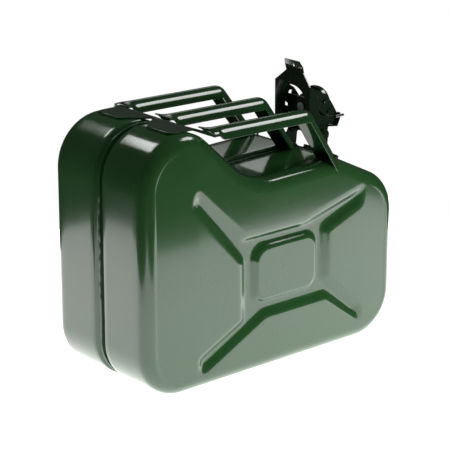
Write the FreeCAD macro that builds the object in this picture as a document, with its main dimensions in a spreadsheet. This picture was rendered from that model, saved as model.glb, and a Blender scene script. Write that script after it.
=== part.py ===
"""A ten-litre pressed-steel fuel can with three carrying handles and a hinged, lever-pressed cap.

Frame, in millimetres: X runs along the can from its back end (-X) to its mouth end (+X), Y runs across it and Z is up.
The origin is the middle of the footprint, on the surface that the can stands on. The cap is drawn swung open.
"""

import FreeCAD, Part
import math
import os

from FreeCAD import Placement, Rotation, Vector

DOC = FreeCAD.newDocument("fuel_can")
SHEET = DOC.addObject("Spreadsheet::Sheet", "Dim")
SUBPARTS = []

# ---------------------------------------------------------------- driving dimensions

DIMENSIONS = [
    # the tank: two pressed halves of sheet
    ("can_length", 345.0),
    ("can_width", 150.0),
    ("hump_height", 270.0),
    ("dip_height", 205.5),
    ("shoulder_height", 208.5),
    ("hump_front_x", -99.0),
    ("dip_x", -29.5),
    ("shoulder_x", 91.0),
    ("mouth_slope_deg", 26.0),
    ("corner_radius", 50.0),
    ("hump_back_radius", 53.0),
    ("hump_front_radius", 40.0),
    ("dip_radius", 75.0),
    ("shoulder_radius", 25.0),
    ("edge_radius", 14.0),
    ("sheet", 0.9),
    ("channel_width", 13.0),
    ("channel_depth", 5.0),
    ("flange_drop", 1.6),
    ("weld_drop", 0.6),
    ("weld_width", 2.4),
    # the star pressing on each broad face
    ("press_x", 13.5),
    ("press_z", 104.5),
    ("press_depth", 5.0),
    ("press_wall", 5.0),
    ("press_corner", 9.0),
    ("pad_length", 79.0),
    ("pad_height", 53.0),
    ("pad_corner", 12.0),
    # three handles and the plate that joins their back ends
    ("handle_pitch", 68.0),
    ("handle_radius", 13.2),
    ("handle_depth", 11.0),
    ("handle_sheet", 1.5),
    ("handle_back_x", -88.0),
    ("handle_full_x", -74.0),
    ("handle_front_x", 46.0),
    ("handle_front_z", 269.0),
    ("handle_foot_x", 90.0),
    ("handle_foot_pitch", 62.0),
    ("handle_foot_trim", 18.0),
    ("plate_back_x", -127.0),
    ("plate_half_width", 60.0),
    ("plate_notch_x", -101.0),
    ("plate_notch_half", 22.0),
    # the neck and the hinge bracket round it
    ("bore_radius", 17.5),
    ("neck_radius", 18.75),
    ("rim_radius", 20.0),
    ("rim_height", 2.5),
    ("neck_length", 24.0),
    ("bracket_sheet", 1.5),
    ("bracket_back", 36.0),
    ("bracket_front", 21.5),
    ("bracket_half_width", 26.5),
    ("ear_outer", 25.0),
    ("ear_sheet", 2.0),
    ("ear_radius", 6.5),
    # the hinge, with the cap swung open
    ("hinge_x", 114.0),
    ("hinge_z", 220.0),
    ("hinge_pin_radius", 2.5),
    ("hinge_head_radius", 4.2),
    ("hinge_head", 1.4),
    ("open_angle", 116.0),
    ("running_clearance", 0.06),
    # the cap and its carrier
    ("cap_z", 248.5),
    ("cap_face_x", 128.0),
    ("cap_radius", 20.0),
    ("cap_top_x", 104.6),
    ("cap_seat_gap", 0.3),
    ("carrier_half_width", 22.1),
    ("carrier_sheet", 1.5),
    # the closing lever
    ("lever_half_width", 27.0),
    ("lever_sheet", 1.5),
    ("lever_web_x", 89.0),
    ("lever_web_low", 236.0),
    ("lever_web_high", 277.0),
    ("lever_window_radius", 23.0),
    ("lever_window_z", 252.0),
    ("lever_pin_x", 119.5),
    ("lever_pin_z", 245.0),
    ("lever_pin_radius", 2.9),
    ("lock_hole_x", 110.3),
    ("lock_hole_z", 258.7),
    ("lock_hole_radius", 2.6),
    ("tongue_half_width", 13.0),
    ("tongue_top_z", 302.0),
    # the T-shaped locking pin through the lever's near cheek
    ("lock_pin_radius", 1.2),
    ("lock_pin_x", 126.5),
    ("lock_pin_z", 241.0),
    ("lock_pin_end_y", -22.9),
    ("lock_bar_y", -33.0),
    ("lock_bar_radius", 1.5),
    ("lock_bar_back_x", 121.5),
    ("lock_bar_length", 11.7),
    # the air pipe inside
    ("pipe_radius", 4.0),
    ("pipe_wall", 0.8),
]

for row, (alias, value) in enumerate(DIMENSIONS, start=1):
    SHEET.set(f"A{row}", alias.replace("_", " "))
    SHEET.set(f"B{row}", str(value))
    SHEET.setAlias(f"B{row}", alias)
DOC.recompute()


def dim(alias):
    """The number in a named cell of the sheet."""
    return float(SHEET.get(alias))


SLOPE = math.radians(dim("mouth_slope_deg"))
ALONG = Vector(math.cos(SLOPE), 0, -math.sin(SLOPE))
OUT = Vector(math.sin(SLOPE), 0, math.cos(SLOPE))
HINGE = Vector(dim("hinge_x"), 0, dim("hinge_z"))
# The mouth's centre, where the cap's face comes to rest once it has swung over.
MOUTH = (
    HINGE
    + ALONG * (dim("cap_z") - dim("hinge_z"))
    - OUT * (dim("cap_face_x") - dim("hinge_x") + dim("cap_seat_gap"))
)
SHOULDER = Vector(dim("shoulder_x"), 0, dim("shoulder_height"))
NECK_HEIGHT = (MOUTH - SHOULDER).dot(OUT)
MOUTH_PLACE = Placement(MOUTH, Rotation(Vector(0, 1, 0), dim("mouth_slope_deg")))


# ---------------------------------------------------------------- shared shapes

def rounded_loop(corners, y, inset=0.0):
    """A closed wire in the plane Y = y through (x, z, radius) corners, taken clockwise as seen from -Y.

    A positive inset moves every side inwards. Outer corners lose as much radius as inner corners gain.
    """
    count = len(corners)
    points = [Vector(x, 0, z) for x, z, _ in corners]
    sides = [(points[(i + 1) % count] - points[i]).normalize() for i in range(count)]
    inward = [Vector(s.z, 0, -s.x) for s in sides]
    moved, radii, turns = [], [], []
    for i in range(count):
        before, after = sides[i - 1], sides[i]
        cross = before.x * after.z - before.z * after.x
        half_turn = math.atan2(abs(cross), before.dot(after)) / 2
        miter = (inward[i - 1] + inward[i]).normalize() * (inset / math.cos(half_turn))
        moved.append(points[i] + miter)
        convex = cross < 0
        radii.append(max(corners[i][2] + (-inset if convex else inset), 0.2))
        turns.append(half_turn)
    edges, starts, ends, middles = [], [], [], []
    for i in range(count):
        reach = radii[i] * math.tan(turns[i])
        start = moved[i] - sides[i - 1] * reach
        end = moved[i] + sides[i] * reach
        towards = (sides[i] - sides[i - 1]).normalize()
        middle = moved[i] + towards * (radii[i] / math.cos(turns[i]) - radii[i])
        starts.append(start)
        ends.append(end)
        middles.append(middle)
    for i in range(count):
        following = (i + 1) % count
        a, m, b, c = (Vector(p.x, y, p.z) for p in (starts[i], middles[i], ends[i], starts[following]))
        edges.append(Part.Arc(a, m, b).toShape())
        edges.append(Part.makeLine(b, c))
    return Part.Wire(edges)


def slab(corners, y_from, y_to, inset=0.0):
    """The solid between two planes of constant Y inside a rounded loop."""
    face = Part.Face(rounded_loop(corners, y_from, inset))
    return face.extrude(Vector(0, y_to - y_from, 0))


def loft(wires):
    return Part.makeLoft(wires, True, True)


def polygon(points, y_from, y_to):
    """The solid between two planes of constant Y inside a sharp-cornered (x, z) polygon."""
    ring = [Vector(x, y_from, z) for x, z in points]
    return Part.Face(Part.makePolygon(ring + ring[:1])).extrude(Vector(0, y_to - y_from, 0))


def cross_pin(radius, x, z, y_from, y_to):
    return Part.makeCylinder(radius, y_to - y_from, Vector(x, y_from, z), Vector(0, 1, 0))


def mirrored(shape):
    """The same piece on the other side of the seam."""
    return shape.mirror(Vector(0, 0, 0), Vector(0, 1, 0))


def add(label, shape):
    """Adds a computed piece to the document."""
    item = DOC.addObject("Part::Feature", label)
    item.Label = label
    item.Shape = shape
    item.Placement = Placement()
    SUBPARTS.append(item)
    return item


def bind(item, **formulas):
    """Ties properties of an object to formulas on the sheet: a double underscore stands for a dot."""
    for name, formula in formulas.items():
        item.setExpression(name.replace("__", "."), formula)


def primitive(kind, name, **formulas):
    item = DOC.addObject(kind, name)
    bind(item, **formulas)
    return item


def keep(item, label):
    item.Label = label
    SUBPARTS.append(item)
    return item


# ---------------------------------------------------------------- the tank

def can_corners():
    """The side outline, clockwise from the bottom back corner, as (x, z, radius)."""
    half = dim("can_length") / 2
    drop = (half - dim("shoulder_x")) * math.tan(SLOPE)
    return [
        (-half, 0.0, dim("corner_radius")),
        (-half, dim("hump_height"), dim("hump_back_radius")),
        (dim("hump_front_x"), dim("hump_height"), dim("hump_front_radius")),
        (dim("dip_x"), dim("dip_height"), dim("dip_radius")),
        (dim("shoulder_x"), dim("shoulder_height"), dim("shoulder_radius")),
        (half, dim("shoulder_height") - drop, dim("corner_radius")),
        (half, 0.0, dim("corner_radius")),
    ]


def press_corners():
    """The star's outline, clockwise from its upper back arm: four tapering arms round a square middle."""
    cx, cz, tip = dim("press_x"), dim("press_z"), 6.0
    root = dim("press_corner")
    return [
        (cx - 122, cz + 92, tip), (cx - 118, cz + 105, tip), (cx - 58, cz + 45, root),
        (cx + 29, cz + 45, root), (cx + 110, cz + 66, tip), (cx + 107, cz + 50, tip),
        (cx + 59, cz + 31, root), (cx + 59, cz - 21, root), (cx + 107, cz - 66, tip),
        (cx + 108, cz - 82, tip), (cx + 58, cz - 44, root), (cx - 28, cz - 44, root),
        (cx - 115, cz - 88, tip), (cx - 117, cz - 71, tip), (cx - 59, cz - 43, root),
        (cx - 60, cz + 19, root),
    ]


def pad_corners():
    """The raised rectangle in the middle of the star, at its foot."""
    half_length, half_height, radius = dim("pad_length") / 2, dim("pad_height") / 2, dim("pad_corner")
    x, z = dim("press_x") + 1.0, dim("press_z") + 1.5
    return [
        (x - half_length, z - half_height, radius), (x - half_length, z + half_height, radius),
        (x + half_length, z + half_height, radius), (x + half_length, z - half_height, radius),
    ]


def star_recess(grow):
    """What the star pressing takes out of the near face, all of it pushed out by grow."""
    face_y = -dim("can_width") / 2
    floor_y = face_y + dim("press_depth") + grow
    wall = dim("press_wall")
    outline = press_corners()
    walls = loft([
        rounded_loop(outline, face_y - 0.5, -grow),
        rounded_loop(outline, floor_y, wall - grow),
    ])
    pad = loft([
        rounded_loop(pad_corners(), floor_y + 0.2, grow),
        rounded_loop(pad_corners(), face_y - 1.0, wall + grow),
    ])
    return walls.cut(pad)


def block(inset, seam_y):
    """The near half's bulk, with its broad face's edge rounded."""
    face_y = -dim("can_width") / 2 + inset
    bulk = slab(can_corners(), seam_y, face_y, inset)
    rim = [e for e in bulk.Edges if abs(e.BoundBox.YMin - face_y) < 1e-3 and abs(e.BoundBox.YMax - face_y) < 1e-3]
    return bulk.makeFillet(dim("edge_radius") - inset, rim)


def near_half():
    """One pressed half: broad face, rounded edge, narrow wall, seam channel and seam flange."""
    sheet, half_channel = dim("sheet"), dim("channel_width") / 2
    depth = dim("channel_depth")
    outside = block(0.0, -half_channel).cut(star_recess(0.0))
    outside = outside.fuse(slab(can_corners(), 0.0, -half_channel, depth))
    outside = outside.fuse(slab(can_corners(), 0.0, -sheet, dim("flange_drop")))
    inside = block(sheet, -half_channel - sheet).cut(star_recess(sheet))
    inside = inside.fuse(slab(can_corners(), 0.0, -half_channel - sheet, depth + sheet))
    return outside.cut(inside).cut(neck_hole())


def tank_bulk():
    """The can as one solid with its seam channel filled to the weld, for trimming what is welded on."""
    half_channel = dim("channel_width") / 2
    near = block(0.0, -half_channel)
    filled = slab(can_corners(), -half_channel, half_channel, dim("weld_drop"))
    return near.fuse([mirrored(near), filled])


def neck_hole():
    hole = Part.makeCylinder(dim("neck_radius"), 60, Vector(0, 0, -40))
    hole.Placement = MOUTH_PLACE
    return hole


def make_tank():
    half = near_half()
    add("near_shell", half)
    add("far_shell", mirrored(half))
    half_weld = dim("weld_width") / 2
    ring = slab(can_corners(), -half_weld, half_weld, dim("weld_drop"))
    ring = ring.cut(slab(can_corners(), -half_weld - 1, half_weld + 1, dim("flange_drop")))
    add("seam_weld", ring.cut(neck_hole()))


# ---------------------------------------------------------------- the handles

def channel_wire(place, roundness=1.0):
    """The handle's arched channel section. place turns (across, depth below the ridge) into a point.

    roundness 0 is flat sheet and 1 is the full arch.
    """
    radius, sheet = dim("handle_radius"), dim("handle_sheet")
    sweep = math.acos(1 - dim("handle_depth") / radius)
    angles = [sweep * (i / 4.0 - 1.0) for i in range(9)]
    outer = [(radius * math.sin(a), roundness * radius * (1 - math.cos(a))) for a in angles]
    inner = [
        (y - sheet * roundness * math.sin(a), d + sheet * (roundness * math.cos(a) + 1 - roundness))
        for a, (y, d) in zip(angles, outer)
    ]
    curves = []
    for line in (outer, inner[::-1]):
        spline = Part.BSplineCurve()
        spline.interpolate([place(y, d) for y, d in line])
        curves.append(spline.toShape())
    ends = [place(*outer[-1]), place(*inner[-1]), place(*inner[0]), place(*outer[0])]
    return Part.Wire([curves[0], Part.makeLine(ends[0], ends[1]), curves[1], Part.makeLine(ends[2], ends[3])])


def handle_leg():
    """Slope of the leg, and the share of depth by which the bent section leans back at the bend."""
    run = dim("handle_foot_x") - dim("handle_front_x")
    fall = dim("handle_front_z") - dim("shoulder_height")
    angle = math.atan2(fall, run)
    return run, fall, angle, math.tan(angle / 2)


def foot_middle(side):
    """Y of a foot: the outer legs lean in, so that they land on the shell. side is -1, 0 or 1."""
    return side * dim("handle_foot_pitch")


def handle_foot_point(side, y, depth, below=0.0):
    """Where a point of the section meets the shoulder, or a height below it further down the leg."""
    run, fall, angle, lean = handle_leg()
    x = dim("handle_front_x") - lean * depth + (fall - depth + below) / math.tan(angle)
    sideways = (dim("handle_foot_pitch") - dim("handle_pitch")) * side * below / fall
    return Vector(x, foot_middle(side) + sideways + y, dim("shoulder_height") - below)


def handle(side, bulk):
    """One handle: flat where it leaves the plate, arched along the grip, bent down and scribed to the shell."""
    middle, trim = side * dim("handle_pitch"), dim("handle_foot_trim")
    plate_top = dim("hump_height") + dim("handle_sheet")
    lean = handle_leg()[3]
    front_x, front_z = dim("handle_front_x"), dim("handle_front_z")
    back, full = dim("handle_back_x"), dim("handle_full_x")
    stations = [
        channel_wire(lambda y, d: Vector(back, middle + y, plate_top - d), 0.0),
        channel_wire(lambda y, d: Vector(full, middle + y, plate_top - d)),
        channel_wire(lambda y, d: Vector(front_x - lean * d, middle + y, front_z - d)),
        channel_wire(lambda y, d: handle_foot_point(side, y, d, trim)),
    ]
    return max(loft(stations).cut(bulk).Solids, key=lambda solid: solid.Volume)


def foot_bead(side):
    """The weld run round the front of a foot, as far out as the shoulder stays level."""
    size, count = 1.3, 8
    radius = dim("handle_radius")
    level = dim("can_width") / 2 - dim("edge_radius") - dim("handle_foot_pitch") + 2 * size
    sweep = math.asin(max(level, radius / 2) / radius)
    points = []
    for i in range(count + 1):
        a = sweep * (2.0 * i / count - 1.0)
        base = handle_foot_point(side, radius * math.sin(a), radius * (1 - math.cos(a)))
        points.append(base + Vector(math.cos(a), math.sin(a), 0) * (1.2 * size) + Vector(0, 0, size))
    spline = Part.BSplineCurve()
    spline.interpolate(points)
    tangent = spline.tangent(spline.FirstParameter)[0]
    ring = Part.Wire(Part.makeCircle(size, points[0], tangent))
    return Part.Wire(spline.toShape()).makePipeShell([ring], True, True)


def plate_outline():
    """The plate seen from above: two lobes behind, split by a notch over the seam."""
    back, half, notch = dim("plate_back_x"), dim("plate_half_width"), dim("plate_notch_half")
    front = dim("handle_back_x")
    outer = dim("handle_pitch") + dim("handle_radius") * math.sin(
        math.acos(1 - dim("handle_depth") / dim("handle_radius"))
    )
    one_side = [
        (front, outer), (front - 3, outer - 5), (front - 8, half + 4), (front - 14, half),
        (back + 6, half), (back + 1.5, half - 1.5), (back, half - 6), (back, notch),
    ]
    return one_side + [(dim("plate_notch_x"), 0.0)] + [(x, -y) for x, y in one_side[::-1]]


def make_handles():
    top = dim("hump_height")
    ring = [Vector(x, y, top) for x, y in plate_outline()]
    plate = Part.Face(Part.makePolygon(ring + ring[:1])).extrude(Vector(0, 0, dim("handle_sheet")))
    add("handle_plate", plate)
    bulk = tank_bulk()
    for label, side in (("near_handle", -1), ("middle_handle", 0), ("far_handle", 1)):
        add(label, handle(side, bulk))
    add("handle_foot_welds", Part.makeCompound([foot_bead(side).cut(bulk) for side in (-1, 0, 1)]))
    x, leg = dim("plate_back_x"), 1.4
    section = [(x, top), (x, top + leg), (x - leg * 1.3, top - 0.6)]
    long_from, long_to = -dim("plate_half_width") + 8, -dim("plate_notch_half") - 2
    seam = polygon(section, long_from, long_to)
    add("handle_plate_welds", Part.makeCompound([seam, mirrored(seam)]))


# ---------------------------------------------------------------- the neck

def on_mouth(item):
    """Sets an object on the mouth: its own Z is the mouth's axis and its origin is the rim's centre."""
    item.Placement = MOUTH_PLACE


def make_neck():
    reach = "Dim.neck_length"
    tube = primitive("Part::Cylinder", "neck_wall", Radius="Dim.neck_radius", Height=reach)
    tube.setExpression("Placement.Base.z", "-Dim.neck_length")
    rim = primitive("Part::Cylinder", "neck_rim", Radius="Dim.rim_radius", Height="Dim.rim_height")
    rim.setExpression("Placement.Base.z", "-Dim.rim_height")
    bore = primitive("Part::Cylinder", "neck_bore", Radius="Dim.bore_radius", Height="Dim.neck_length + 2")
    bore.setExpression("Placement.Base.z", "-Dim.neck_length - 1")
    outside = DOC.addObject("Part::Fuse", "neck_outside")
    outside.Base, outside.Tool = tube, rim
    neck = DOC.addObject("Part::Cut", "neck_cut")
    neck.Base, neck.Tool = outside, bore
    on_mouth(neck)
    keep(neck, "neck_tube")

    bead = primitive("Part::Torus", "neck_bead", Radius1="Dim.neck_radius + 1", Radius2="1")
    bead.Placement = MOUTH_PLACE.multiply(
        Placement(Vector(0, 0, dim("bracket_sheet") + 1 - NECK_HEIGHT), Rotation())
    )
    keep(bead, "neck_weld")


def local_polygon(points, y_from, y_to):
    """A polygon given along and out from the rim's centre, set on the mouth."""
    shape = polygon(points, y_from, y_to)
    shape.Placement = MOUTH_PLACE
    return shape


def make_bracket():
    sheet = dim("bracket_sheet")
    floor = -NECK_HEIGHT
    back, front, half = -dim("bracket_back"), dim("bracket_front"), dim("bracket_half_width")
    base = local_polygon([(back, floor), (front, floor), (front, floor + sheet), (back, floor + sheet)], -half, half)
    hole = Part.makeCylinder(dim("neck_radius") + 0.05, 30, Vector(0, 0, -20))
    hole.Placement = MOUTH_PLACE
    base = base.cut(hole)
    hinge = HINGE - MOUTH
    u, w = hinge.dot(ALONG), hinge.dot(OUT)
    radius, outer, inner = dim("ear_radius"), dim("ear_outer"), dim("ear_outer") - dim("ear_sheet")
    blade = local_polygon(
        [(back, floor + sheet), (back + 20, floor + sheet), (u + radius, w - 2), (u, w + 2), (u - radius, w)],
        inner, outer,
    )
    eye = cross_pin(radius, HINGE.x, HINGE.z, inner, outer)
    hinge_hole = cross_pin(dim("hinge_pin_radius"), HINGE.x, HINGE.z, inner - 1, outer + 1)
    ear = blade.fuse(eye).cut(hinge_hole).removeSplitter()
    add("hinge_bracket", base.fuse(ear).fuse(mirrored(ear)))

    leg = 1.3
    tack = local_polygon([(back, floor), (back, floor + leg), (back - leg, floor)], -22, -10)
    add("bracket_welds", Part.makeCompound([tack, mirrored(tack)]))


def make_hinge_pin():
    half = dim("ear_outer") + 0.1
    pin = primitive("Part::Cylinder", "hinge_shank", Radius="Dim.hinge_pin_radius", Height="2 * Dim.ear_outer + 0.2")
    heads = []
    for name, offset in (("hinge_head_near", -half - dim("hinge_head")), ("hinge_head_far", half)):
        head = primitive("Part::Cylinder", name, Radius="Dim.hinge_head_radius", Height="Dim.hinge_head")
        head.Placement = Placement(Vector(0, 0, offset + half), Rotation())
        heads.append(head)
    whole = DOC.addObject("Part::MultiFuse", "hinge_whole")
    whole.Shapes = [pin] + heads
    whole.Placement = Placement(HINGE + Vector(0, -half, 0), Rotation(Vector(1, 0, 0), -90))
    keep(whole, "hinge_pin")


# ---------------------------------------------------------------- the cap, swung open

def turned(name, steps):
    """Cylinders along +X from the cap's axis, each (radius, start, length) as formulas, made one solid."""
    parts = []
    for i, (radius, start, length) in enumerate(steps):
        item = primitive("Part::Cylinder", f"{name}_step{i}", Radius=radius, Height=length)
        item.Placement = Placement(Vector(0, 0, dim("cap_z")), Rotation(Vector(0, 1, 0), 90))
        item.setExpression("Placement.Base.x", start)
        parts.append(item)
    if len(parts) == 1:
        return parts[0]
    whole = DOC.addObject("Part::MultiFuse", f"{name}_whole")
    whole.Shapes = parts
    return whole


def cap_ring(points):
    """Turns a closed (x, radius) outline round the cap's axis."""
    z = dim("cap_z")
    ring = [Vector(x, 0, z + r) for x, r in points]
    face = Part.Face(Part.makePolygon(ring + ring[:1]))
    return face.revolve(Vector(0, 0, z), Vector(1, 0, 0), 360)


def make_cap():
    face, top, radius = dim("cap_face_x"), dim("cap_top_x"), dim("cap_radius")
    shell = [
        (top, 0), (top, 8), (top + 2, 11.5), (top + 5, 14), (face - 8, 15), (face - 7, radius),
        (face - 3, radius), (face - 3, radius - 1), (face - 6, radius - 1), (face - 6, 14),
        (top + 5.4, 13), (top + 2.8, 10.8), (top + 1, 7.6), (top + 1, 0),
    ]
    hole = cap_ring([(top - 2, 0), (top - 2, 3), (top + 3, 3), (top + 3, 0)])
    add("cap_dome", cap_ring(shell).cut(hole))
    gasket = DOC.addObject("Part::Cut", "gasket_cut")
    gasket.Base = turned("gasket_outside", [("Dim.cap_radius - 1.1", "Dim.cap_face_x - 6", "6")])
    gasket.Tool = turned("gasket_inside", [("14.45", "Dim.cap_face_x - 7", "8")])
    keep(gasket, "cap_gasket")
    retainer = [
        (face - 6, 0), (face - 6, 13.4), (face - 1, 13.4), (face - 0.4, 14.4), (face + 0.6, 14.4),
        (face + 0.2, 12.6), (face - 5, 12.4), (face - 5, 0),
    ]
    retainer_hole = cap_ring([(face - 8, 0), (face - 8, 3), (face - 3, 3), (face - 3, 0)])
    add("gasket_retainer", cap_ring(retainer).cut(retainer_hole))
    rivet = turned("rivet", [
        ("5", "Dim.cap_top_x - Dim.carrier_sheet - 1.6", "1.5"),
        ("3", "Dim.cap_top_x - Dim.carrier_sheet - 1", "Dim.cap_face_x - Dim.cap_top_x + Dim.carrier_sheet - 3"),
        ("5", "Dim.cap_face_x - 5", "1.4"),
    ])
    keep(rivet, "cap_rivet")


def make_carrier():
    """The strap that hangs from the hinge pin, holds the cap and carries the lever's two rivets."""
    outer, sheet = dim("carrier_half_width"), dim("carrier_sheet")
    inner = outer - sheet
    x, z = dim("hinge_x"), dim("hinge_z")
    pin_x, pin_z = dim("lever_pin_x"), dim("lever_pin_z")
    top = dim("cap_top_x")
    back, low, high = top - sheet - 0.05, dim("cap_z") - 11, dim("cap_z") + 11
    blade = polygon(
        [(x - 5.5, z - 2), (x + 6, z - 1), (pin_x + 6, pin_z - 1), (pin_x + 2, pin_z + 6), (back, high), (back, low)],
        inner, outer,
    )
    arm = blade.fuse(cross_pin(6.0, x, z, inner, outer)).fuse(cross_pin(6.0, pin_x, pin_z, inner, outer))
    loose = dim("running_clearance")
    arm = arm.cut(cross_pin(dim("hinge_pin_radius") + loose, x, z, inner - 1, outer + 1))
    arm = arm.cut(cross_pin(dim("lever_pin_radius") + loose, pin_x, pin_z, inner - 1, outer + 1))
    web = polygon([(back, low), (top - 0.05, low), (top - 0.05, high), (back, high)], -inner, inner)
    hole = Part.makeCylinder(3.05, 6, Vector(back - 2, 0, dim("cap_z")), Vector(1, 0, 0))
    add("cap_carrier", arm.fuse(mirrored(arm)).fuse(web).removeSplitter().cut(hole))


# ---------------------------------------------------------------- the closing lever

def lever_cheek(y_from, y_to):
    """A side of the lever, with its pin hole, locking hole and lanced slot."""
    web, low, high = dim("lever_web_x"), dim("lever_web_low"), dim("lever_web_high")
    cheek = polygon(
        [
            (web, low), (web, high), (web + 15, high - 6.4), (web + 27, high - 14), (web + 35, high - 25),
            (web + 41, high - 35), (web + 41, high - 39), (web + 37, high - 46.5), (web + 25, high - 44.5),
            (web + 12, low - 1),
        ],
        y_from, y_to,
    )
    slot = polygon([(web + 14, high - 27.5), (web + 14, high - 31.5), (web + 25, high - 36)], y_from - 1, y_to + 1)
    holes = [
        cross_pin(dim("lever_pin_radius"), dim("lever_pin_x"), dim("lever_pin_z"), y_from - 1, y_to + 1),
        cross_pin(dim("lock_hole_radius"), dim("lock_hole_x"), dim("lock_hole_z"), y_from - 1, y_to + 1),
    ]
    return cheek.cut(slot).cut(holes[0]).cut(holes[1])


def lever_lip(y_from, y_to):
    """The cheek's lower edge, rolled outwards."""
    web, high = dim("lever_web_x"), dim("lever_web_high")
    return polygon(
        [
            (web + 40.5, high - 33.5), (web + 42, high - 33.5), (web + 42, high - 39), (web + 38, high - 48),
            (web + 24, high - 46), (web + 24, high - 44.5), (web + 37, high - 46.5), (web + 40.5, high - 38.7),
        ],
        y_from, y_to,
    )


def panel(rows, thickness):
    """A bent plate through (x, z, half width) rows, thickened towards +X."""
    wires = []
    for x, z, half in rows:
        ring = [Vector(x, -half, z), Vector(x, half, z), Vector(x + thickness, half, z), Vector(x + thickness, -half, z)]
        wires.append(Part.makePolygon(ring + ring[:1]))
    return loft(wires)


def make_lever():
    outer, sheet = dim("lever_half_width"), dim("lever_sheet")
    inner = outer - sheet
    web, low, high = dim("lever_web_x"), dim("lever_web_low"), dim("lever_web_high")
    front = panel([(web, low, inner), (web, high, inner)], sheet)
    window = Part.makeCylinder(
        dim("lever_window_radius"), 6, Vector(web - 2, 0, dim("lever_window_z")), Vector(1, 0, 0)
    )
    arch = Part.makeBox(6, 2 * dim("lever_window_radius"), 12, Vector(web - 2, -dim("lever_window_radius"), low + 4))
    front = front.cut(window).cut(arch)
    tongue_half, tip = dim("tongue_half_width"), dim("tongue_top_z")
    bend_x, bend_z = web + 3.5, high + 12
    facet = panel([(web, high - 0.5, outer), (bend_x, bend_z, tongue_half)], sheet)
    tab = panel([(bend_x, bend_z - 0.5, tongue_half), (web + 1.5, tip - 6, tongue_half + 0.5)], sheet)
    tip_flange = panel([(web + 1.5, tip - 6.3, tongue_half + 0.5), (web - 1.5, tip, tongue_half - 2)], sheet)
    tongue = facet.fuse(tab).fuse(tip_flange)
    cheek = lever_cheek(inner, outer)
    lip = lever_lip(outer, outer + 4)
    pin_hole = cross_pin(
        dim("lock_pin_radius") + dim("running_clearance"), dim("lock_pin_x"), dim("lock_pin_z"),
        -outer - 5, -inner + 1,
    )
    tongue_hole = Part.makeCylinder(1.8, 8, Vector(web - 2, 0, tip - 6), Vector(1, 0, 0))
    near = mirrored(cheek).fuse(mirrored(lip)).cut(pin_hole)
    far = cheek.fuse(lip)
    whole = front.fuse([tongue.cut(tongue_hole), near, far])
    add("closure_lever", whole)

    x, z = dim("lever_pin_x"), dim("lever_pin_z")
    shank = cross_pin(dim("lever_pin_radius"), x, z, dim("carrier_half_width") - dim("carrier_sheet"), outer + 0.5)
    collar = cross_pin(4.4, x, z, dim("carrier_half_width") + 0.3, inner)
    head = cross_pin(4.4, x, z, outer, outer + 1.3)
    rivet = shank.fuse(collar).fuse(head).removeSplitter()
    add("lever_rivets", Part.makeCompound([rivet, mirrored(rivet)]))


def make_locking_pin():
    """A shank across the near cheek with a bar on its outer end."""
    shank = primitive(
        "Part::Cylinder", "lock_shank", Radius="Dim.lock_pin_radius",
        Height="Dim.lock_pin_end_y - Dim.lock_bar_y",
    )
    shank.Placement = Placement(Vector(), Rotation(Vector(1, 0, 0), -90))
    bind(
        shank, Placement__Base__x="Dim.lock_pin_x", Placement__Base__y="Dim.lock_bar_y",
        Placement__Base__z="Dim.lock_pin_z",
    )
    bar = primitive("Part::Cylinder", "lock_bar", Radius="Dim.lock_bar_radius", Height="Dim.lock_bar_length")
    bar.Placement = Placement(Vector(), Rotation(Vector(0, 1, 0), 90))
    bind(
        bar, Placement__Base__x="Dim.lock_bar_back_x", Placement__Base__y="Dim.lock_bar_y",
        Placement__Base__z="Dim.lock_pin_z",
    )
    whole = DOC.addObject("Part::Fuse", "lock_whole")
    whole.Base, whole.Tool = shank, bar
    keep(whole, "locking_pin")


# ---------------------------------------------------------------- the air pipe

def pipe_path():
    """From the neck's lower end, down and back along the tank, then up into the hump."""
    off_axis = dim("neck_radius") - dim("pipe_radius") - 0.05
    start = MOUTH - ALONG * off_axis - OUT * dim("neck_length")
    bend_one = MOUTH - ALONG * off_axis - OUT * (dim("neck_length") + 18)
    return [start, bend_one, Vector(-12, 0, 178), Vector(-112, 0, 252)]


def make_air_pipe():
    points = pipe_path()
    bends = (14.0, 70.0)
    edges, cursor = [], points[0]
    for i, radius in enumerate(bends, start=1):
        before = (points[i] - points[i - 1]).normalize()
        after = (points[i + 1] - points[i]).normalize()
        half_turn = before.getAngle(after) / 2
        reach = radius * math.tan(half_turn)
        start, end = points[i] - before * reach, points[i] + after * reach
        towards = (after - before).normalize()
        middle = points[i] + towards * (radius / math.cos(half_turn) - radius)
        edges += [Part.makeLine(cursor, start), Part.Arc(start, middle, end).toShape()]
        cursor = end
    edges.append(Part.makeLine(cursor, points[-1]))
    path = Part.Wire(edges)
    first = (points[1] - points[0]).normalize()
    walls = []
    for radius in (dim("pipe_radius"), dim("pipe_radius") - dim("pipe_wall")):
        ring = Part.Wire(Part.makeCircle(radius, points[0], first))
        walls.append(path.makePipeShell([ring], True, False))
    add("air_pipe", walls[0].cut(walls[1]))


# ---------------------------------------------------------------- build, check and write

make_tank()
make_handles()
make_neck()
make_bracket()
make_hinge_pin()
make_carrier()
make_cap()
make_lever()
make_locking_pin()
make_air_pipe()
DOC.recompute()

for thing in DOC.Objects:
    if "Invalid" in thing.State or "Error" in thing.State:
        raise RuntimeError(f"{thing.Label} failed: {thing.State}")

os.makedirs("parts", exist_ok=True)
for piece in SUBPARTS:
    shape = piece.Shape
    if shape.isNull() or not shape.isValid():
        raise RuntimeError(f"{piece.Label} has no valid shape")
    if shape.Volume <= 0:
        raise RuntimeError(f"{piece.Label} is empty or inside out")
    shape.exportStep(os.path.join("parts", piece.Label + ".step"))
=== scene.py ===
"""A pressed-steel fuel can in glossy dark green enamel, its cap swung open, on a pale studio floor."""

import math

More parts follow.
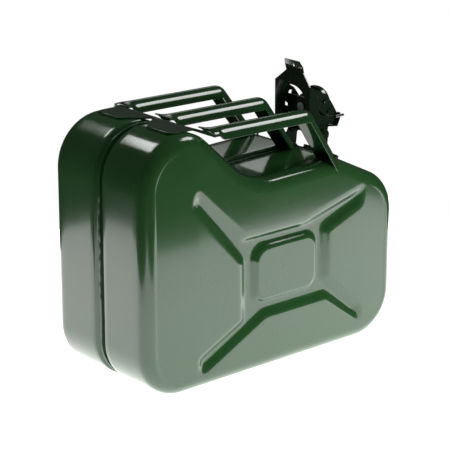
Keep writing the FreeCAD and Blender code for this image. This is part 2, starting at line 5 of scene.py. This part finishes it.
import bmesh
import bpy
import numpy as np
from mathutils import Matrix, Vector


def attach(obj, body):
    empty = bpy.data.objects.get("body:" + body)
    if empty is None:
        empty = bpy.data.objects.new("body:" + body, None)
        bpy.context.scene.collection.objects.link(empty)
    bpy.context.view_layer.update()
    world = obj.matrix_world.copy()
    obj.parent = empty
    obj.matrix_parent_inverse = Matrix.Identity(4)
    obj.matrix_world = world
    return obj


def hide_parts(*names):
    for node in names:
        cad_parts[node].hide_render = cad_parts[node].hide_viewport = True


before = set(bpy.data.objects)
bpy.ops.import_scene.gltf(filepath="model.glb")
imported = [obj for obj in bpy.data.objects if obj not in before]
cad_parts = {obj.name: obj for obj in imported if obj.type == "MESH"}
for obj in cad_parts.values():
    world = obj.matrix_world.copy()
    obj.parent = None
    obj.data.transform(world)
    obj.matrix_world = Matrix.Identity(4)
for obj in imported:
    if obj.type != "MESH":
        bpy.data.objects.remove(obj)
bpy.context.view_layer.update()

MM = 0.001

# ---------------------------------------------------------------- sizes, in millimetres

SLOPE = math.radians(26.0)
HALF_LENGTH = 172.5
FACE_Y = 75.0
EDGE_RADIUS = 14.0
CHANNEL_HALF = 6.5
CHANNEL_DEPTH = 5.0
SHOULDER_X, SHOULDER_Z = 91.0, 208.5
FRONT_CORNER_Z = SHOULDER_Z - (HALF_LENGTH - SHOULDER_X) * math.tan(SLOPE)
OUTLINE = [
    (-HALF_LENGTH, 0.0, 50.0), (-HALF_LENGTH, 270.0, 53.0), (-99.0, 270.0, 40.0), (-29.5, 205.5, 75.0),
    (SHOULDER_X, SHOULDER_Z, 25.0), (HALF_LENGTH, FRONT_CORNER_Z, 50.0), (HALF_LENGTH, 0.0, 50.0),
]
PRESS_X, PRESS_Z = 13.5, 104.5
PRESS_DEPTH = 5.0
PRESS_WALL = 7.5
STAR = [
    (-122, 92), (-118, 105), (-58, 45), (29, 45), (110, 66), (107, 50), (59, 31), (59, -21),
    (107, -66), (108, -82), (58, -44), (-28, -44), (-115, -88), (-117, -71), (-59, -43), (-60, 19),
]
STAR_GRID = 1.5
PAD_HALF = (39.5, 26.5)
PAD_ROUND = 12.0
MOUTH = Vector((133.347, 0.0, 194.654))
OUT = Vector((math.sin(SLOPE), 0.0, math.cos(SLOPE)))
HANDLE_BACK_X, HANDLE_FULL_X, HANDLE_BEND_X, HANDLE_FOOT_X = -88, -74, 46, 90
HANDLE_TOP_Z, HANDLE_BEND_Z = 271.5, 269
HANDLE_PITCH, HANDLE_RADIUS, HANDLE_DEPTH = 68, 13.2, 11.0
FOOT_LEAN_IN = 6
BEND_REACH = 7.0
SHEET = 1.5
FLOOR_HALF = (520.0, 450.0)
FLOOR_GLOW = 1.5


# ---------------------------------------------------------------- materials

def from_hex(code):
    """An sRGB hex colour as linear RGBA."""
    channels = [int(code[i:i + 2], 16) / 255 for i in (1, 3, 5)]
    linear = [c / 12.92 if c <= 0.04045 else ((c + 0.055) / 1.055) ** 2.4 for c in channels]
    return (*linear, 1.0)


def node(tree, kind, links=None, **settings):
    """Adds a node, sets its properties and sockets, and links what is given into it."""
    made = tree.nodes.new(kind)
    for name, value in settings.items():
        if hasattr(made, name):
            setattr(made, name, value)
        else:
            made.inputs[name.replace("_", " ")].default_value = value
    for socket, source in (links or {}).items():
        tree.links.new(source, made.inputs[socket])
    return made


def new_material(name):
    material = bpy.data.materials.new(name)
    material.use_nodes = True
    tree = material.node_tree
    tree.nodes.clear()
    output = tree.nodes.new("ShaderNodeOutputMaterial")
    place = tree.nodes.new("ShaderNodeTexCoord").outputs["Object"]
    return material, tree, output, place


def enamel(name, deep, full, peel_mm, gloss, wear):
    """Stoving enamel sprayed on pressed steel: wet gloss with orange peel, paler along worn edges."""
    material, tree, output, place = new_material(name)
    cloud = node(tree, "ShaderNodeTexNoise", {"Vector": place}, Scale=1 / (60 * MM), Detail=3.0)
    colour = node(tree, "ShaderNodeMix", {"Factor": cloud.outputs["Fac"]}, data_type="RGBA")
    colour.inputs["A"].default_value = from_hex(deep)
    colour.inputs["B"].default_value = from_hex(full)
    # wear: bare steel grey shows where an edge has been rubbed, broken up by a 3 mm pattern
    edge = node(tree, "ShaderNodeNewGeometry")
    chips = node(tree, "ShaderNodeTexNoise", {"Vector": place}, Scale=1 / (3 * MM), Detail=4.0)
    sharp = node(tree, "ShaderNodeMapRange", {"Value": edge.outputs["Pointiness"]})
    sharp.inputs["From Min"].default_value = 0.56
    sharp.inputs["From Max"].default_value = 0.68
    broken = node(tree, "ShaderNodeMapRange", {"Value": chips.outputs["Fac"]})
    broken.inputs["From Min"].default_value = 0.58
    broken.inputs["From Max"].default_value = 0.70
    broken.inputs["To Max"].default_value = wear
    rubbed = node(tree, "ShaderNodeMath", {0: sharp.outputs[0], 1: broken.outputs[0]}, operation="MULTIPLY")
    rubbing = {"Factor": rubbed.outputs[0], "A": colour.outputs["Result"]}
    worn = node(tree, "ShaderNodeMix", rubbing, data_type="RGBA")
    worn.inputs["B"].default_value = from_hex("#5c655c")
    # orange peel, and a much longer waviness left in the sheet by the press
    peel = node(tree, "ShaderNodeTexNoise", {"Vector": place}, Scale=1 / (peel_mm * MM), Detail=2.0)
    sheet = node(tree, "ShaderNodeTexNoise", {"Vector": place}, Scale=1 / (45 * MM), Detail=1.0)
    sheet_height = {"Height": sheet.outputs["Fac"]}
    long_wave = node(tree, "ShaderNodeBump", sheet_height, Strength=0.25, Distance=0.6 * MM)
    relief = node(
        tree, "ShaderNodeBump", {"Height": peel.outputs["Fac"], "Normal": long_wave.outputs["Normal"]},
        Strength=0.25, Distance=0.05 * MM,
    )
    smear = node(tree, "ShaderNodeTexNoise", {"Vector": place}, Scale=1 / (25 * MM), Detail=4.0)
    rough = node(tree, "ShaderNodeMapRange", {"Value": smear.outputs["Fac"]})
    rough.inputs["To Min"].default_value = gloss * 0.8
    rough.inputs["To Max"].default_value = gloss * 1.3
    surface = {"Roughness": rough.outputs[0], "Normal": relief.outputs["Normal"]}
    shader = node(tree, "ShaderNodeBsdfPrincipled", surface)
    tree.links.new(worn.outputs["Result"], shader.inputs["Base Color"])
    shader.inputs["IOR"].default_value = 1.5
    shader.inputs["Coat Weight"].default_value = 0.9
    shader.inputs["Coat Roughness"].default_value = 0.1
    tree.links.new(shader.outputs[0], output.inputs["Surface"])
    return material


def plated_steel(name, tint, roughness):
    """Zinc-plated steel: a soft grey metal with faint turning marks."""
    material, tree, output, place = new_material(name)
    grain = node(tree, "ShaderNodeTexNoise", {"Vector": place}, Scale=1 / (1.5 * MM), Detail=3.0)
    rough = node(tree, "ShaderNodeMapRange", {"Value": grain.outputs["Fac"]})
    rough.inputs["To Min"].default_value = roughness * 0.7
    rough.inputs["To Max"].default_value = roughness * 1.4
    relief = node(tree, "ShaderNodeBump", {"Height": grain.outputs["Fac"]}, Strength=0.2, Distance=0.05 * MM)
    surface = {"Roughness": rough.outputs[0], "Normal": relief.outputs["Normal"]}
    shader = node(tree, "ShaderNodeBsdfPrincipled", surface)
    shader.inputs["Base Color"].default_value = from_hex(tint)
    shader.inputs["Metallic"].default_value = 1.0
    tree.links.new(shader.outputs[0], output.inputs["Surface"])
    return material


def moulded_rubber(name):
    """Moulded nitrile rubber: dull black with a fine bloom."""
    material, tree, output, place = new_material(name)
    bloom = node(tree, "ShaderNodeTexNoise", {"Vector": place}, Scale=1 / (2 * MM), Detail=3.0)
    colour = node(tree, "ShaderNodeValToRGB", {"Fac": bloom.outputs["Fac"]})
    colour.color_ramp.elements[0].color = from_hex("#101110")
    colour.color_ramp.elements[1].color = from_hex("#232423")
    relief = node(tree, "ShaderNodeBump", {"Height": bloom.outputs["Fac"]}, Strength=0.3, Distance=0.08 * MM)
    surface = {"Base Color": colour.outputs[0], "Normal": relief.outputs["Normal"]}
    shader = node(tree, "ShaderNodeBsdfPrincipled", surface)
    shader.inputs["Roughness"].default_value = 0.6
    tree.links.new(shader.outputs[0], output.inputs["Surface"])
    return material


BODY_ENAMEL = enamel("green_stoving_enamel", "#1e431e", "#285129", 2.0, 0.17, 0.12)
HANDLE_ENAMEL = enamel("green_enamel_on_handles", "#173819", "#204322", 1.6, 0.14, 0.25)
CLOSURE_ENAMEL = enamel("green_enamel_on_closure", "#101f12", "#172a18", 1.4, 0.14, 0.3)
ZINC = plated_steel("zinc_plated_steel", "#a9adab", 0.32)
TUBE_STEEL = plated_steel("drawn_steel_tube", "#85888a", 0.4)
RUBBER = moulded_rubber("nitrile_rubber")


# ---------------------------------------------------------------- helpers for pieces

def only(item):
    bpy.ops.object.select_all(action="DESELECT")
    item.select_set(True)
    bpy.context.view_layer.objects.active = item


def mesh_piece(name, points, faces):
    """A new object from points in millimetres."""
    mesh = bpy.data.meshes.new(name)
    mesh.from_pydata([tuple(c * MM for c in p) for p in points], [], faces)
    mesh.update()
    item = bpy.data.objects.new(name, mesh)
    bpy.context.collection.objects.link(item)
    return item


def face_outwards(item):
    only(item)
    bpy.ops.object.mode_set(mode="EDIT")
    bpy.ops.mesh.select_all(action="SELECT")
    bpy.ops.mesh.remove_doubles(threshold=0.01 * MM)
    bpy.ops.mesh.normals_make_consistent(inside=False)
    bpy.ops.object.mode_set(mode="OBJECT")


def settle(item, material, body, slot, *nodes, smooth_deg=35.0):
    """The last steps of every new piece: finish, shading, its body and the CAD nodes it stands for."""
    item.data.materials.clear()
    item.data.materials.append(material)
    only(item)
    bpy.ops.object.shade_smooth_by_angle(angle=math.radians(smooth_deg))
    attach(item, body)
    if nodes:
        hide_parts(*nodes)


def apply_all(item):
    only(item)
    for modifier in list(item.modifiers):
        bpy.ops.object.modifier_apply(modifier=modifier.name)


# ---------------------------------------------------------------- the tank halves

def outline_ring(inset, per_arc, per_side):
    """Points round the side outline, pulled in by an inset, with the same count for every inset."""
    count = len(OUTLINE)
    corner = [np.array([x, z]) for x, z, _ in OUTLINE]
    side = [corner[(i + 1) % count] - corner[i] for i in range(count)]
    side = [s / np.linalg.norm(s) for s in side]
    inward = [np.array([s[1], -s[0]]) for s in side]
    starts, ends, arcs = [], [], []
    for i in range(count):
        before, after = side[i - 1], side[i]
        cross = before[0] * after[1] - before[1] * after[0]
        half = math.atan2(abs(cross), float(before @ after)) / 2
        convex = cross < 0
        radius = max(OUTLINE[i][2] + (-inset if convex else inset), 0.3)
        miter = inward[i - 1] + inward[i]
        at = corner[i] + miter / np.linalg.norm(miter) * inset / math.cos(half)
        reach = radius * math.tan(half)
        start, end = at - before * reach, at + after * reach
        centre = start + inward[i - 1] * radius * (1 if convex else -1)
        a, b = start - centre, end - centre
        swing = math.atan2(a[0] * b[1] - a[1] * b[0], float(a @ b))
        points = []
        for k in range(per_arc):
            t = swing * k / per_arc
            points.append(centre + np.array([
                a[0] * math.cos(t) - a[1] * math.sin(t), a[0] * math.sin(t) + a[1] * math.cos(t),
            ]))
        starts.append(start)
        ends.append(end)
        arcs.append(points)
    ring = []
    for i in range(count):
        following = starts[(i + 1) % count]
        ring += arcs[i]
        ring += [ends[i] + (following - ends[i]) * (k / per_side) for k in range(per_side)]
    return np.array(ring)


def smooth_step(t):
    t = np.clip(t, 0, 1)
    return t * t * (3 - 2 * t)


def inside_distance(points, corners):
    """How far each point lies inside a polygon: negative outside."""
    inside = np.zeros(len(points), bool)
    nearest = np.full(len(points), 1e9)
    for i in range(len(corners)):
        a, b = np.array(corners[i], float), np.array(corners[(i + 1) % len(corners)], float)
        edge = b - a
        t = np.clip(((points - a) @ edge) / (edge @ edge), 0, 1)
        nearest = np.minimum(nearest, np.linalg.norm(points - (a + t[:, None] * edge), axis=1))
        spans = (a[1] > points[:, 1]) != (b[1] > points[:, 1])
        with np.errstate(divide="ignore", invalid="ignore"):
            crossing = a[0] + (points[:, 1] - a[1]) * edge[0] / edge[1]
        inside ^= spans & (points[:, 0] < crossing)
    return np.where(inside, nearest, -nearest)


def soft_star():
    """The star's depth, 0 to 1, on a fine grid and blurred, as drawn sheet has no sharp corners."""
    across = np.arange(-135.0, 135.1, STAR_GRID)
    up = np.arange(-105.0, 120.1, STAR_GRID)
    grid = np.array([(x, z) for z in up for x in across])
    depth = smooth_step((inside_distance(grid, STAR) + 2.0) / PRESS_WALL).reshape(len(up), len(across))
    for _ in range(5):
        for axis in (0, 1):
            depth = (np.roll(depth, 1, axis) + 2 * depth + np.roll(depth, -1, axis)) / 4
    return across, up, depth


STAR_ACROSS, STAR_UP, STAR_DEPTH = soft_star()


def star_depth(local):
    """The soft star read between its grid points."""
    u = np.clip((local[:, 0] - STAR_ACROSS[0]) / STAR_GRID, 0, len(STAR_ACROSS) - 1.001)
    v = np.clip((local[:, 1] - STAR_UP[0]) / STAR_GRID, 0, len(STAR_UP) - 1.001)
    i, j = u.astype(int), v.astype(int)
    fu, fv = u - i, v - j
    low = STAR_DEPTH[j, i] * (1 - fu) + STAR_DEPTH[j, i + 1] * fu
    high = STAR_DEPTH[j + 1, i] * (1 - fu) + STAR_DEPTH[j + 1, i + 1] * fu
    return low * (1 - fv) + high * fv


def face_sink(points):
    """How deep the broad face lies below its highest plane at (x, z) points."""
    local = points - np.array([PRESS_X, PRESS_Z])
    star = star_depth(local)
    reach = np.abs(local - np.array([1.0, 1.5])) - (np.array(PAD_HALF) - PAD_ROUND)
    outside = np.linalg.norm(np.maximum(reach, 0), axis=1) + np.minimum(reach.max(axis=1), 0)
    pad = 1 - smooth_step((outside - PAD_ROUND) / (PRESS_WALL * 0.9))
    # past two upright creases the sheet falls away a little towards the ends
    fall = 0.018 * np.maximum(-104 - points[:, 0], 0) + 0.018 * np.maximum(points[:, 0] - 122, 0)
    return PRESS_DEPTH * star * (1 - pad) + fall


def tank_half(name, side):
    """One pressed half as a skin: seam flange, channel, narrow wall, rounded edge and the pressed broad face.

    It is computed ring by ring: the pressing's soft walls run into each other, which edit-mode steps can't give.
    """
    per_arc, per_side, rings = ((26, 48, 84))
    profile = [(1.6, 0.0), (1.6, 0.9), (CHANNEL_DEPTH, 0.95), (CHANNEL_DEPTH, CHANNEL_HALF - 1.9)]
    profile += [(CHANNEL_DEPTH - 0.8, CHANNEL_HALF - 0.7), (1.3, CHANNEL_HALF + 0.3)]
    profile += [(0.35, CHANNEL_HALF + 0.9), (0.0, CHANNEL_HALF + 2.1)]
    profile += [(0.0, y) for y in np.linspace(14, FACE_Y - EDGE_RADIUS, 8)]
    for angle in np.linspace(0, math.pi / 2, 10)[1:]:
        out_to = FACE_Y - EDGE_RADIUS + EDGE_RADIUS * math.sin(angle)
        profile.append((EDGE_RADIUS * (1 - math.cos(angle)), out_to))
    points, loops = [], 0
    for inset, y in profile:
        ring = outline_ring(inset, per_arc, per_side)
        points += [(x, side * y, z) for x, z in ring]
        loops += 1
    rim = outline_ring(EDGE_RADIUS, per_arc, per_side)
    rim_sink = face_sink(rim)
    size = len(rim)
    # the ends' slight fall is carried round the edge, so that the rounding meets it
    start = len(points) - size
    for k in range(size):
        x, y, z = points[start + k]
        points[start + k] = (x, side * (FACE_Y - rim_sink[k]), z)
    centre = np.array([PRESS_X, PRESS_Z])
    for step in range(1, rings):
        ring = rim + (centre - rim) * (step / rings)
        sink = face_sink(ring)
        points += [(x, side * (FACE_Y - s), z) for (x, z), s in zip(ring, sink)]
        loops += 1
    points.append((PRESS_X, side * FACE_Y, PRESS_Z))
    faces = []
    for j in range(loops - 1):
        for k in range(size):
            after = (k + 1) % size
            faces.append((j * size + k, j * size + after, (j + 1) * size + after, (j + 1) * size + k))
    last, hub = (loops - 1) * size, len(points) - 1
    faces += [(last + k, last + (k + 1) % size, hub) for k in range(size)]
    item = mesh_piece(name, points, faces)
    face_outwards(item)
    # the face must look outwards: its hub's normal points away from the seam
    only(item)
    hub_normal = item.data.polygons[-1].normal.y
    if hub_normal * side < 0:
        bpy.ops.object.mode_set(mode="EDIT")
        bpy.ops.mesh.select_all(action="SELECT")
        bpy.ops.mesh.flip_normals()
        bpy.ops.object.mode_set(mode="OBJECT")
    return item


def cut_mouth(item):
    """Opens the skin where the neck passes through it."""
    only(item)
    bpy.ops.object.mode_set(mode="EDIT")
    shape = bmesh.from_edit_mesh(item.data)
    axis_at = MOUTH * MM
    doomed = []
    for face in shape.faces:
        offset = face.calc_center_median() - axis_at
        along = offset.dot(OUT)
        if abs(along) < 15 * MM and (offset - OUT * along).length < 18 * MM:
            doomed.append(face)
    bmesh.ops.delete(shape, geom=doomed, context="FACES")
    bmesh.update_edit_mesh(item.data)
    bpy.ops.object.mode_set(mode="OBJECT")


for label, side in (("near", -1), ("far", 1)):
    half = tank_half(f"tank_half_{label}", side)
    cut_mouth(half)
    settle(half, BODY_ENAMEL, "can", "enamel_body", f"{label}_shell", smooth_deg=60)


def seam_bead():
    """The rolled weld round the seam: it wanders and swells a little along its run."""
    around, section = (40, 70), 8
    ring = outline_ring(1.6, *around)
    inner = outline_ring(2.6, *around)
    count = len(ring)
    points, faces = [], []
    for k in range(count):
        out = ring[k] - inner[k]
        out = out / np.linalg.norm(out)
        swell = 1.0 + 0.13 * math.sin(k * 1.1) + 0.12 * math.sin(k * 0.43 + 1)
        wander = 0.5 * math.sin(k * 0.21) + 0.3 * math.sin(k * 0.083 + 2)
        for j in range(section):
            a = 2 * math.pi * j / section
            lift = 0.95 * swell * math.sin(a)
            at = ring[k] + out * lift
            points.append((at[0], wander + 1.25 * swell * math.cos(a), at[1]))
    for k in range(count):
        after = (k + 1) % count
        for j in range(section):
            beside = (j + 1) % section
            here, there = k * section, after * section
            faces.append((here + j, here + beside, there + beside, there + j))
    item = mesh_piece("seam_roll_weld", points, faces)
    face_outwards(item)
    return item


settle(seam_bead(), BODY_ENAMEL, "can", "enamel_body", "seam_weld", smooth_deg=80)


# ---------------------------------------------------------------- the handles

def handle_path():
    """Stations along a handle: x, z of the ridge, lean angle, roundness, share of the way down the leg."""
    leg_angle = math.atan2(HANDLE_BEND_Z - SHOULDER_Z, HANDLE_FOOT_X - HANDLE_BEND_X)
    stations = []
    for t in np.linspace(0, 1, 9):
        x = HANDLE_BACK_X + (HANDLE_FULL_X - HANDLE_BACK_X) * t
        stations.append((x, HANDLE_TOP_Z, 0.0, float(smooth_step(np.array(t))), 0.0))
    for t in np.linspace(0, 1, 8)[1:]:
        x = HANDLE_FULL_X + (HANDLE_BEND_X - BEND_REACH - HANDLE_FULL_X) * t
        along = (x - HANDLE_FULL_X) / (HANDLE_BEND_X - HANDLE_FULL_X)
        stations.append((x, HANDLE_TOP_Z - (HANDLE_TOP_Z - HANDLE_BEND_Z) * along, 0.0, 1.0, 0.0))
    for t in np.linspace(0, 1, 9)[1:]:
        # a quadratic turn round the bend
        a = np.array([HANDLE_BEND_X - BEND_REACH, HANDLE_BEND_Z + 0.15])
        b = np.array([float(HANDLE_BEND_X), float(HANDLE_BEND_Z)])
        c = b + BEND_REACH * np.array([math.cos(leg_angle), -math.sin(leg_angle)])
        at = (1 - t) ** 2 * a + 2 * t * (1 - t) * b + t * t * c
        stations.append((at[0], at[1], leg_angle * t, 1.0, 0.0))
    x0, z0 = stations[-1][:2]
    for t in np.linspace(0, 1, 8)[1:]:
        run = (z0 - (SHOULDER_Z - 9)) * t
        stations.append((x0 + run / math.tan(leg_angle), z0 - run, leg_angle, 1.0, t))
    return stations


def plate_droop(x, y):
    """How far the sheet already arches down at the plate's outer edges, 0 to 1, before the grip begins."""
    if abs(y) < HANDLE_PITCH:
        return 0.0
    return 0.55 * float(smooth_step(np.array((x + 106) / 18)))


def make_handle(name, side):
    """An arched channel of sheet, bent down at the front."""
    radius, depth, edge_points = HANDLE_RADIUS, HANDLE_DEPTH, 17
    sweep = math.acos(1 - depth / radius)
    points, faces = [], []
    path = handle_path()
    for x, z, lean, roundness, down in path:
        middle = side * (HANDLE_PITCH - FOOT_LEAN_IN * down)
        for i in range(edge_points):
            a = sweep * (2 * i / (edge_points - 1) - 1)
            d = max(roundness, plate_droop(x, middle + radius * math.sin(a))) * radius * (1 - math.cos(a))
            at_x, at_y, at_z = x - d * math.sin(lean), middle + radius * math.sin(a), z - d * math.cos(lean)
            # the foot is scribed to the shell, which rounds away past the level part of the shoulder
            over = min(max(abs(at_y) - (FACE_Y - EDGE_RADIUS), 0.0), EDGE_RADIUS - 0.1)
            rest = SHOULDER_Z - 0.8 - EDGE_RADIUS + math.sqrt(EDGE_RADIUS ** 2 - over ** 2)
            if down > 0 and at_z < rest:
                at_x -= (rest - at_z) / math.tan(lean)
                at_z = rest
            points.append((at_x, at_y, at_z))
    for k in range(len(path) - 1):
        for i in range(edge_points - 1):
            a = k * edge_points + i
            faces.append((a, a + 1, a + edge_points + 1, a + edge_points))
    item = mesh_piece(name, points, faces)
    face_outwards(item)
    if sum(p.normal.z for p in item.data.polygons) < 0:
        only(item)
        bpy.ops.object.mode_set(mode="EDIT")
        bpy.ops.mesh.select_all(action="SELECT")
        bpy.ops.mesh.flip_normals()
        bpy.ops.object.mode_set(mode="OBJECT")
    wall = item.modifiers.new("wall", "SOLIDIFY")
    wall.thickness, wall.offset = SHEET * MM, -1.0
    rounded = item.modifiers.new("rounded", "BEVEL")
    rounded.width, rounded.segments, rounded.limit_method = 0.5 * MM, 2, "ANGLE"
    rounded.angle_limit = math.radians(50)
    apply_all(item)
    return item


for label, side in (("near", -1), ("middle", 0), ("far", 1)):
    grip = make_handle(f"carry_handle_{label}", side)
    settle(grip, HANDLE_ENAMEL, "can", "enamel_handle", f"{label}_handle", smooth_deg=50)


# ---------------------------------------------------------------- frame pieces with softened edges

def softened(source, name, edge_mm, material, body):
    """A copy of a CAD node with its loose triangles merged and its edges rounded as a press leaves them."""
    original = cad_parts[source]
    mesh = original.data.copy()
    mesh.name = name
    item = bpy.data.objects.new(name, mesh)
    bpy.context.collection.objects.link(item)
    only(item)
    bpy.ops.object.mode_set(mode="EDIT")
    bpy.ops.mesh.select_all(action="SELECT")
    bpy.ops.mesh.remove_doubles(threshold=0.005 * MM)
    bpy.ops.mesh.dissolve_limited(angle_limit=math.radians(1.0))
    bpy.ops.object.mode_set(mode="OBJECT")
    edge = item.modifiers.new("edge", "BEVEL")
    edge.width, edge.segments, edge.limit_method = edge_mm * MM, 2, "ANGLE"
    edge.angle_limit = math.radians(35)
    edge.use_clamp_overlap = True
    even = item.modifiers.new("even", "WEIGHTED_NORMAL")
    even.keep_sharp = True
    item.data.materials.clear()
    item.data.materials.append(material)
    bpy.ops.object.shade_smooth_by_angle(angle=math.radians(40))
    apply_all(item)
    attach(item, body)
    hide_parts(source)
    return item


plate = softened("handle_plate", "handle_joining_plate", 0.3, HANDLE_ENAMEL, "can")
for vertex in plate.data.vertices:
    x, y = vertex.co.x / MM, vertex.co.y / MM
    past = min(max((abs(y) - HANDLE_PITCH) / HANDLE_RADIUS, 0.0), 1.0)
    vertex.co.z -= plate_droop(x, y) * HANDLE_RADIUS * (1 - math.sqrt(1 - past * past)) * MM
softened("hinge_bracket", "neck_hinge_bracket", 0.4, CLOSURE_ENAMEL, "can")
softened("cap_carrier", "cap_carrier_strap", 0.4, CLOSURE_ENAMEL, "cap")
softened("closure_lever", "closing_lever", 0.4, CLOSURE_ENAMEL, "lever")

CARRIED = {
    "handle_foot_welds": HANDLE_ENAMEL, "handle_plate_welds": HANDLE_ENAMEL, "neck_tube": CLOSURE_ENAMEL,
    "neck_weld": CLOSURE_ENAMEL, "bracket_welds": CLOSURE_ENAMEL, "hinge_pin": CLOSURE_ENAMEL,
    "cap_dome": CLOSURE_ENAMEL, "cap_gasket": RUBBER, "gasket_retainer": ZINC, "cap_rivet": ZINC,
    "lever_rivets": CLOSURE_ENAMEL, "locking_pin": CLOSURE_ENAMEL, "air_pipe": TUBE_STEEL,
}
for source, material in CARRIED.items():
    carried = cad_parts[source]
    carried.data.materials.clear()
    carried.data.materials.append(material)


# ---------------------------------------------------------------- studio: floor, backdrop, lights and camera

def paper_floor():
    """Plain white translucent sheet lit from below, the same all over and seen the same by every ray."""
    across, deep = FLOOR_HALF
    corners = [(-across, -deep), (across, -deep), (across, deep), (-across, deep)]
    item = mesh_piece("studio_floor", [(x, y, -0.3) for x, y in corners], [(0, 1, 2, 3)])
    material, tree, output, _ = new_material("white_paper")
    paper = node(tree, "ShaderNodeBsdfPrincipled", Roughness=0.9)
    paper.inputs["Base Color"].default_value = from_hex("#f6f6f6")
    paper.inputs["Emission Color"].default_value = from_hex("#ffffff")
    paper.inputs["Emission Strength"].default_value = FLOOR_GLOW
    tree.links.new(paper.outputs[0], output.inputs["Surface"])
    item.data.materials.append(material)


paper_floor()


def softbox(name, at, towards, width, height, watts, mirrored=True):
    """A rectangular studio light. One that isn't mirrored lights the can but shows no reflection."""
    data = bpy.data.lights.new(name, "AREA")
    data.shape, data.size, data.size_y, data.energy = "RECTANGLE", width, height, watts
    item = bpy.data.objects.new(name, data)
    item.location = Vector(at)
    item.rotation_euler = (Vector(towards) - Vector(at)).to_track_quat("-Z", "Y").to_euler()
    bpy.context.collection.objects.link(item)
    item.visible_camera = False
    item.visible_glossy = mirrored


softbox("floor_wash", (0.0, 0.0, 2.0), (0.0, 0.0, 0.0), 2.4, 2.4, 16, mirrored=False)
softbox("face_fill", (0.8, -1.3, 0.25), (0.0, 0.0, 0.12), 0.8, 0.5, 11, mirrored=False)
softbox("grip_light", (1.0, -0.24, 1.45), (0.0, 0.0, 0.25), 0.62, 0.42, 4.9)
softbox("low_back_panel", (1.15, 1.35, 0.86), (0.0, 0.0, 0.27), 0.45, 0.20, 0.24)
softbox("high_back_light", (-0.18, 1.25, 1.45), (-0.1, 0.0, 0.25), 0.55, 0.16, 1.6)

world = bpy.data.worlds.new("studio")
world.use_nodes = True
bpy.context.scene.world = world
tree = world.node_tree
tree.nodes.clear()
ray = node(tree, "ShaderNodeLightPath")
shown = node(tree, "ShaderNodeBackground", Color=(1.0, 1.0, 1.0, 1.0), Strength=1.0)
fill = node(tree, "ShaderNodeBackground", Color=(1.0, 1.0, 1.0, 1.0), Strength=0.08)
dark = node(tree, "ShaderNodeBackground", Color=(1.0, 1.0, 1.0, 1.0), Strength=0.03)
split = {0: ray.outputs["Is Glossy Ray"], 1: fill.outputs[0], 2: dark.outputs[0]}
unseen = node(tree, "ShaderNodeMixShader", split)
split = {0: ray.outputs["Is Camera Ray"], 1: unseen.outputs[0], 2: shown.outputs[0]}
both = node(tree, "ShaderNodeMixShader", split)
node(tree, "ShaderNodeOutputWorld", {"Surface": both.outputs[0]})

camera_data = bpy.data.cameras.new("camera")
camera_data.lens, camera_data.sensor_width = 155.9, 36.0
camera = bpy.data.objects.new("camera", camera_data)
bpy.context.collection.objects.link(camera)
target = Vector((-0.0054, 0.0, 0.1382))
azimuth, elevation, distance = math.radians(-40.9), math.radians(17.9), 2.053
camera.location = target + distance * Vector((
    math.sin(azimuth) * math.cos(elevation), -math.cos(azimuth) * math.cos(elevation), math.sin(elevation),
))
camera.rotation_euler = (target - camera.location).to_track_quat("-Z", "Y").to_euler()
bpy.context.scene.camera = camera
bpy.context.scene.view_settings.view_transform = "Standard"
